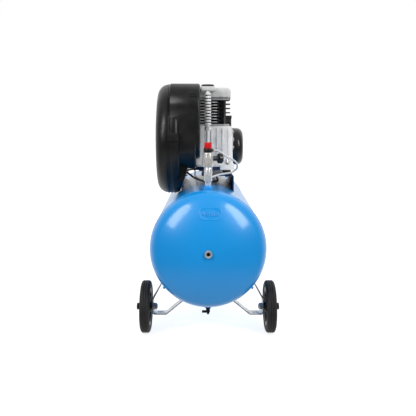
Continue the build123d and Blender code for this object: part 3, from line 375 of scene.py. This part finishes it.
def make_soft_box(side):
    """A tall soft box in front on one side, leaning over towards the machine."""
    data = bpy.data.lights.new(f"soft_box_{side}", "AREA")
    data.shape = "RECTANGLE"
    data.size = SOFT_BOX_WIDTH
    data.size_y = SOFT_BOX_HEIGHT
    data.energy = SOFT_BOX_POWER
    light = bpy.data.objects.new(f"soft_box_{side}", data)
    light.location = (side * SOFT_BOX_X, SOFT_BOX_Y, SOFT_BOX_Z)
    aim = Vector(SOFT_BOX_TARGET) - light.location
    roll = Matrix.Rotation(math.radians(side * SOFT_BOX_LEAN), 3, "Z")
    light.rotation_euler = (aim.to_track_quat("-Z", "Y").to_matrix() @ roll).to_euler()
    bpy.context.scene.collection.objects.link(light)


def glow(strength):
    """White emission, as shader sockets."""
    return {"Emission_Color": (1, 1, 1, 1), "Emission_Strength": strength}


def add_stage(name, bm, material):
    """A studio surface that is seen directly, while the surround does the lighting."""
    surface = bpy.data.objects.new(name, mesh_from(bm, name))
    surface.data.materials.append(material)
    bpy.context.scene.collection.objects.link(surface)
    surface.visible_diffuse = False
    surface.visible_glossy = False
    surface.visible_transmission = False
    surface.visible_shadow = False


def make_studio():
    """A white floor and backdrop, a surround that gives light, and two soft boxes in front."""
    bpy.context.scene.view_settings.view_transform = "Standard"
    bm = bmesh.new()
    bmesh.ops.create_grid(bm, x_segments=1, y_segments=1, size=FLOOR_SIZE)
    add_stage("floor", bm, shader_of("floor_pale", (0.6, 0.6, 0.6), 0.8, **glow(FLOOR_GLOW)))
    bm = bmesh.new()
    bmesh.ops.create_uvsphere(bm, u_segments=48, v_segments=24, radius=BACKDROP_R)
    add_stage("backdrop", bm, shader_of("backdrop_pale", (0, 0, 0), 1.0, **glow(BACKDROP_GLOW)))
    make_surround()
    for side in (-1, 1):
        make_soft_box(side)


def make_surround():
    """Light from all round: strong from behind and from the floor, weak from in front."""
    world = bpy.data.worlds.new("surround")
    world.use_nodes = True
    tree = world.node_tree
    background = tree.nodes["Background"]
    background.inputs["Color"].default_value = (1.0, 1.0, 1.0, 1)
    place = node_of(tree, "ShaderNodeTexCoord")
    split = node_of(tree, "ShaderNodeSeparateXYZ")
    tree.links.new(place.outputs["Generated"], split.inputs["Vector"])
    depth = ranged(tree, split.outputs["Y"], -0.35, 0.55, FRONT_LIGHT, BACK_LIGHT)
    below = ranged(tree, split.outputs["Z"], -0.25, -0.75, 0.0, FLOOR_LIGHT)
    above = ranged(tree, split.outputs["Z"], 0.3, 0.9, 0.0, TOP_LIGHT)
    strength = depth
    for source in (below, above):
        larger = node_of(tree, "ShaderNodeMath", operation="MAXIMUM")
        tree.links.new(strength, larger.inputs[0])
        tree.links.new(source, larger.inputs[1])
        strength = larger.outputs["Value"]
    tree.links.new(strength, background.inputs["Strength"])
    bpy.context.scene.world = world


# ---------------------------------------------------------------- receiver
def arc_points(centre, radius, start, end, count):
    """Points on an arc, from one angle in degrees to another."""
    step = (end - start) / (count - 1)
    angles = [math.radians(start + step * i) for i in range(count)]
    return [(centre[0] + radius * math.cos(a), centre[1] + radius * math.sin(a)) for a in angles]


def dish_profile(inset):
    """Radius and height of a dished end from its apex to its rim, made smaller by an inset."""
    crown, knuckle = CROWN_R - inset, KNUCKLE_R - inset
    centre_r = TANK_R - KNUCKLE_R
    centre_h = DISH_DEPTH - CROWN_R
    meet = math.degrees(math.atan2(-centre_h, centre_r))
    cap = arc_points((0, centre_h), crown, 90, meet, 40)
    corner = arc_points((centre_r, 0), knuckle, meet, 0, 14)
    return [(max(r, POLE_R), h) for r, h in cap] + corner[1:]


def make_tank_end(name, y, way):
    """One dished end as a closed shell, with the weld's half-round at its rim."""
    weld = arc_points((TANK_R - WELD_SINK, 0.0), WELD_R, 90, -90, 7)
    profile = dish_profile(0.0)[:-1] + weld + list(reversed(dish_profile(TANK_WALL)))
    bm = bmesh.new()
    turned(bm, profile, (0, y, TANK_Z), (0, way, 0), 144)
    add_piece(name, mesh_from(bm, name, 50), "frame", "tank_blue", replaced=["tank_ends"])


def on_crown(x, z, proud):
    """A point standing proud of the front end's crown, at x and z from the tank's axis."""
    radius = CROWN_R + proud
    depth = math.sqrt(radius ** 2 - x ** 2 - z ** 2) - CROWN_R + DISH_DEPTH
    return Vector((x, RIM_Y - depth, TANK_Z + z))


def rounded_outline(width, height, radius, steps=8):
    """Points round a rounded rectangle about its own middle."""
    points = []
    for quarter, (sx, sz) in enumerate(((1, 1), (-1, 1), (-1, -1), (1, -1))):
        centre = (sx * (width / 2 - radius), sz * (height / 2 - radius))
        points += arc_points(centre, radius, 90 * quarter, 90 * quarter + 90, steps)
    return points


def raised_plate(bm, surface, x, z, width, height, radius, steps):
    """A plate that follows a curved surface, from (inset, height above it) steps."""
    loops = []
    for inset, proud in steps:
        corner = max(radius - inset, 0.0004)
        outline = rounded_outline(width - 2 * inset, height - 2 * inset, corner)
        loops.append([bm.verts.new(surface(x + dx, z + dz, proud)) for dx, dz in outline])
    bridge(bm, loops)
    bm.faces.new(loops[-1])
    bm.faces.new(list(reversed(loops[0])))


def make_badge():
    """A pressed badge without lettering: a plate with a rim and a row of plain bars."""
    bm = bmesh.new()
    plate = (BADGE_WIDTH, BADGE_HEIGHT, BADGE_CORNER, BADGE_STEPS)
    raised_plate(bm, on_crown, BADGE_X, BADGE_Z, *plate)
    for index in range(BADGE_BARS):
        x = BADGE_X + BADGE_PITCH * (index - (BADGE_BARS - 1) / 2)
        raised_plate(bm, on_crown, x, BADGE_Z, BAR_WIDTH, BAR_HEIGHT, BAR_CORNER, BAR_STEPS)
    mesh = mesh_from(bm, "tank_badge", 60)
    add_piece("tank_badge", mesh, "frame", "tank_blue", replaced=["tank_ends"])


def make_barrel():
    """The barrel as a plain tube, with an edge line at each flange."""
    length = REAR_RIM_Y - RIM_Y
    profile = [(TANK_R, h) for h in (0.0, FLANGE, length - FLANGE, length)]
    profile = [(TANK_R - TANK_WALL, 0.0)] + profile + [(TANK_R - TANK_WALL, length)]
    bm = bmesh.new()
    turned(bm, profile, (0, RIM_Y, TANK_Z), (0, 1, 0), 192)
    mesh = mesh_from(bm, "tank_shell", 50)
    add_piece("tank_shell", mesh, "frame", "tank_blue", replaced=["tank_barrel"])


def make_long_weld():
    """The barrel's lengthwise weld, a low round bead along its underside."""
    length = REAR_RIM_Y - RIM_Y - 2 * FLANGE
    pole = POLE_R / 10
    profile = [(pole, 0), (WELD_R, 0), (WELD_R, length), (pole, length)]
    bm = bmesh.new()
    turned(bm, profile, (0, RIM_Y + FLANGE, TANK_Z - TANK_R), (0, 1, 0), 24)
    add_piece("tank_seam", mesh_from(bm, "tank_seam"), "frame", "tank_blue")


def make_receiver():
    """Ends, badge and barrel as smooth shells, with weld beads where they meet."""
    make_tank_end("tank_end_front", RIM_Y, -1)
    make_tank_end("tank_end_rear", REAR_RIM_Y, 1)
    make_badge()
    make_barrel()
    make_long_weld()


def make_plugs():
    """The two end plugs, with painted shade in their hexagon sockets."""
    low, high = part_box("tank_plugs")

    def in_socket(polygon):
        middle = polygon.center
        sunk = low.y + MM < middle.y < high.y - MM
        return sunk and math.hypot(middle.x, middle.z - TANK_Z) < SOCKET_R

    # The faces inside each socket get the near-black material as painted shade.
    repaint(refined("tank_plugs", 0.5), SOCKET_SHADE, in_socket)


# ---------------------------------------------------------------- wheels
def tyre_profile(radius, half):
    """Radius and place across a tyre: ribs, between side rings and shoulders that mirror."""
    side = [(RIM_SEAT_R, 0.008 - half), (RIM_SEAT_R + 0.004, 0.002 - half)]
    side += [(radius - 0.016, 0.0008 - half), (radius - 0.0145, -half)]
    side += [(radius - 0.012, -half), (radius - 0.0105, 0.0012 - half)]
    side += arc_points((radius - SHOULDER_R, SHOULDER_IN - half), SHOULDER_R, 260, 350, 7)
    ribs = []
    for rib in (-RIB_PITCH, 0.0, RIB_PITCH):
        ribs += [(radius - RIB_ROUND, rib - RIB_FOOT), (radius, rib - RIB_HALF)]
        ribs += [(radius, rib + RIB_HALF), (radius - RIB_ROUND, rib + RIB_FOOT)]
        ribs += [(radius - GROOVE_DEPTH, rib + GROOVE_HALF)]
    return side + ribs[:-1] + [(r, -place) for r, place in reversed(side)]


def make_tyre(side):
    """A tyre with a ribbed tread, moulded side rings and rounded shoulders."""
    low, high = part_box(f"tyre_{side}")
    profile = tyre_profile((high.z - low.z) / 2, (high.x - low.x) / 2 - TREAD_INSET)
    bm = bmesh.new()
    turned(bm, profile, (low + high) / 2, (1, 0, 0), 128)
    mesh = mesh_from(bm, f"tyre_{side}_tread", 50)
    add_piece(f"tyre_{side}_tread", mesh, f"wheel_{side}", "tyre", replaced=[f"tyre_{side}"])


def make_axle_bolts():
    """The axle bolts in zinc, with blackened heads outside the wheels."""
    head_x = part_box("tyre_right")[1].x + HEAD_GAP
    repaint(refined("axle_bolts", 0.6), DARK_ZINC_AND_GAP_SHADE, lambda polygon: abs(polygon.center.x) > head_x)


# ---------------------------------------------------------------- gauge
def gauge_disc(name, profile, steps, slot, material):
    """A turned disc on the gauge's axis."""
    bm = bmesh.new()
    turned(bm, profile, GAUGE_ORIGIN, GAUGE_WAY, steps)
    add_piece(name, mesh_from(bm, name), "frame", slot, material)


def make_gauge_scale():
    """The dial's ticks, every fifth of them longer."""
    place = Matrix.Translation(GAUGE_ORIGIN) @ GAUGE_WAY.to_track_quat("Z", "Y").to_matrix().to_4x4()
    bm = bmesh.new()
    for index in range(TICKS):
        length, width = SHORT_TICK if index % LONG_EVERY else LONG_TICK
        turn = Matrix.Rotation(math.radians(FIRST_TICK - TICK_ANGLE * index), 4, "Z")
        shift = Matrix.Translation((TICK_END_R - length / 2, 0, DIAL_HIGH + TICK_THICKNESS / 2))
        scale = Matrix.Diagonal((length, width, TICK_THICKNESS, 1))
        bmesh.ops.create_cube(bm, size=1.0, matrix=place @ turn @ shift @ scale)
    add_piece("gauge_scale", mesh_from(bm, "gauge_scale"), "frame", "black_plastic")


def make_gauge_face():
    """Dial with a scale, and the window in front of the needle."""
    dial = [(DIAL_HOLE_R, DIAL_LOW), (DIAL_R, DIAL_LOW), (DIAL_R, DIAL_HIGH), (DIAL_HOLE_R, DIAL_HIGH)]
    gauge_disc("gauge_dial", dial, 48, "white_tube", DIAL_WHITE)
    make_gauge_scale()
    window = [(POLE_R, WINDOW_LOW), (WINDOW_R, WINDOW_LOW), (WINDOW_R, WINDOW_HIGH)]
    window += [(POLE_R, WINDOW_HIGH + WINDOW_DOME)]
    gauge_disc("gauge_window", window, 64, "white_tube", GAUGE_GLASS)


# ---------------------------------------------------------------- pump
def make_cylinders():
    """The finned block in black, with the rims of its fins in light grey: partly bare metal, partly a
    painted reflection of the bright surround.
    """
    low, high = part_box("cylinder_block")
    middle = (low.y + high.y) / 2

    def on_rim(polygon):
        out = abs(polygon.center.y - middle) > FIN_RIM_Y or polygon.center.x < low.x + FIN_RIM_X
        return out and abs(polygon.normal.z) < FIN_EDGE_SLOPE

    # Fin rims facing sideways get the light grey: partly bare metal, partly painted reflection.
    repaint(refined("cylinder_block", 0.5), FIN_RIM_METAL_AND_SHEEN, on_rim)


def make_delivery_pipe():
    """The delivery pipe in bright aluminium, with painted shade in the gaps between its rings."""
    def in_shaded_gap(polygon):
        middle = polygon.center
        deep = math.hypot(middle.x, middle.y - PIPE_Y) < RING_CORE_R
        return deep and RINGS_LOW_Z < middle.z < RINGS_HIGH_Z

    # The faces deep in the gaps between the rings get the near-black material as painted shade.
    repaint(refined("delivery_pipe", 0.4, material=PALE_AND_LIT_CASTING), DARK_ZINC_AND_GAP_SHADE, in_shaded_gap)


# ---------------------------------------------------------------- guard
def guard_outline(grow, count=72):
    """Points (y, z) round the hull of the guard's two circles, made larger by an amount."""
    (big_y, big_z, big_r), (small_y, small_z, small_r) = GUARD_NOSE, GUARD_TAIL
    dy, dz = small_y - big_y, small_z - big_z
    slope = math.degrees(math.atan2(dz, dy))
    opening = math.degrees(math.acos((big_r - small_r) / math.hypot(dy, dz)))
    nose = arc_points((big_y, big_z), big_r + grow, slope + opening, slope + 360 - opening, count)
    tail = arc_points((small_y, small_z), small_r + grow, slope - opening, slope + opening, count)
    return nose + tail


def make_seam_ribs():
    """Pressed ribs that run round the guard beside its seam."""
    bm = bmesh.new()
    for x in SEAM_RIBS:
        loops = []
        for dx, proud in SEAM_SECTION:
            loops.append([bm.verts.new((x + dx, y, z)) for y, z in guard_outline(proud)])
        bridge(bm, loops + loops[:1])
    add_piece("guard_ribs", mesh_from(bm, "guard_ribs", 35), "frame", "black_plastic")


def on_hood(x, z, proud):
    """A point standing proud of the rounded front edge of the guard's hood."""
    depth = math.sqrt((HOOD_ROUND + proud) ** 2 - (z - HOOD_ROUND_Z) ** 2)
    return Vector((x, HOOD_FRONT_Y + HOOD_ROUND - depth, z))


def make_hood_clip():
    """The moulded clip with its hollow, near the hood's upper right corner."""
    bm = bmesh.new()
    raised_plate(bm, on_hood, CLIP_X, CLIP_Z, CLIP_WIDTH, CLIP_HEIGHT, CLIP_CORNER, CLIP_STEPS)
    add_piece("hood_clip", mesh_from(bm, "hood_clip", 35), "frame", "black_plastic")


def make_all_fine():
    """Every CAD node that no other function replaces."""
    for node in sorted(NODES):
        if not NODES[node].hide_render:
            refined(node, material=OTHER_LOOKS.get(node))


make_camera()
make_studio()
make_receiver()
for wheel_side in ("left", "right"):
    make_tyre(wheel_side)
make_gauge_face()
make_plugs()
make_axle_bolts()
make_cylinders()
make_delivery_pipe()
make_seam_ribs()
make_hood_clip()
make_all_fine()
